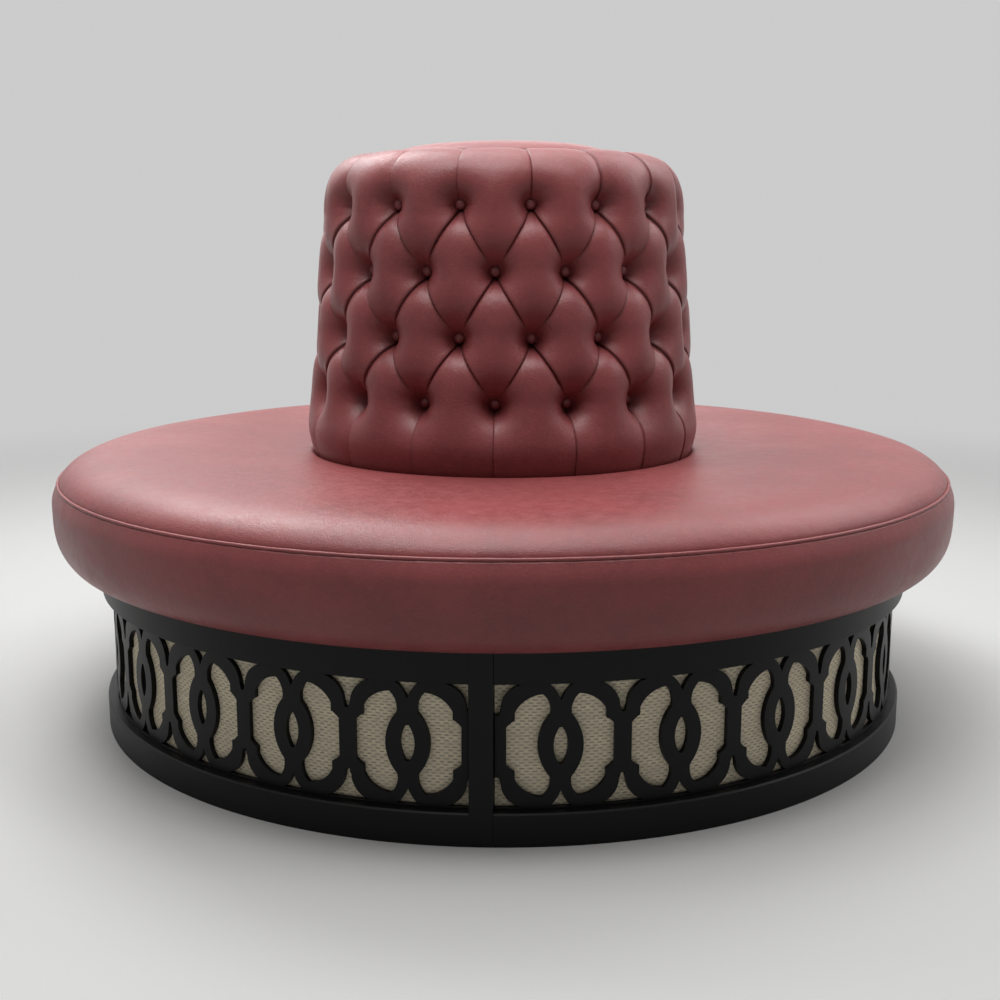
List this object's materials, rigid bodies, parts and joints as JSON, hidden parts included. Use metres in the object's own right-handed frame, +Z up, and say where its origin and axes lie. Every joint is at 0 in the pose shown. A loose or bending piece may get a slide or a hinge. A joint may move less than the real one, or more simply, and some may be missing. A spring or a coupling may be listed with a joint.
{
  "type": "round bench",
  "caption": "Round upholstered bench with a ring seat, a tapered deep buttoned centre back with a domed cap, and a ring fretwork base over woven fabric.",
  "frame": {"origin": "on the floor, at the axis of the bench", "axes": "+Z up along the axis of the bench, -Y towards the first post, +X to the right of it"},
  "size_m": [1.6, 1.6, 1.008],
  "materials": {
    "black_lacquer": "satin black lacquer over solid wood",
    "woven_fabric": "coarse woven fabric with flecks",
    "leather": "satin oxblood leather with a fine grain",
    "plywood": "unfinished birch plywood",
    "foam": "upholstery foam",
    "steel": "zinc plated steel"
  },
  "bodies": {
    "root": {"base_board": "plywood", "plinth_1": "black_lacquer", "plinth_2": "black_lacquer", "plinth_3": "black_lacquer", "plinth_4": "black_lacquer", "post_1": "black_lacquer", "post_2": "black_lacquer", "post_3": "black_lacquer", "post_4": "black_lacquer", "top_rail_1": "black_lacquer", "top_rail_2": "black_lacquer", "top_rail_3": "black_lacquer", "top_rail_4": "black_lacquer", "fretwork_1": "black_lacquer", "fretwork_2": "black_lacquer", "fretwork_3": "black_lacquer", "fretwork_4": "black_lacquer", "woven_panel_1": "woven_fabric", "woven_panel_2": "woven_fabric", "woven_panel_3": "woven_fabric", "woven_panel_4": "woven_fabric", "backing_board_1": "plywood", "backing_board_2": "plywood", "backing_board_3": "plywood", "backing_board_4": "plywood", "rail_dowels": "plywood", "rib_1": "plywood", "rib_2": "plywood", "rib_3": "plywood", "rib_4": "plywood", "rib_5": "plywood", "rib_6": "plywood", "rib_7": "plywood", "rib_8": "plywood", "lower_hub": "plywood", "upper_hub": "plywood", "seat_deck": "plywood", "rib_screws": "steel", "seat_foam": "foam", "seat_top_cover": "leather", "seat_side_cover": "leather", "seat_piping": "leather", "back_bottom_disc": "plywood", "back_top_disc": "plywood", "back_battens": "plywood", "back_skin": "plywood", "back_foam": "foam", "back_cover": "leather", "button_row_1": "leather", "button_row_2": "leather", "button_row_3": "leather", "button_row_4": "leather", "cap_board": "plywood", "cap_pad": "foam", "cap_cover": "leather", "cap_screws": "steel", "back_bolts": "steel", "back_washers": "steel", "back_nuts": "steel"}
  },
  "joints": []
}
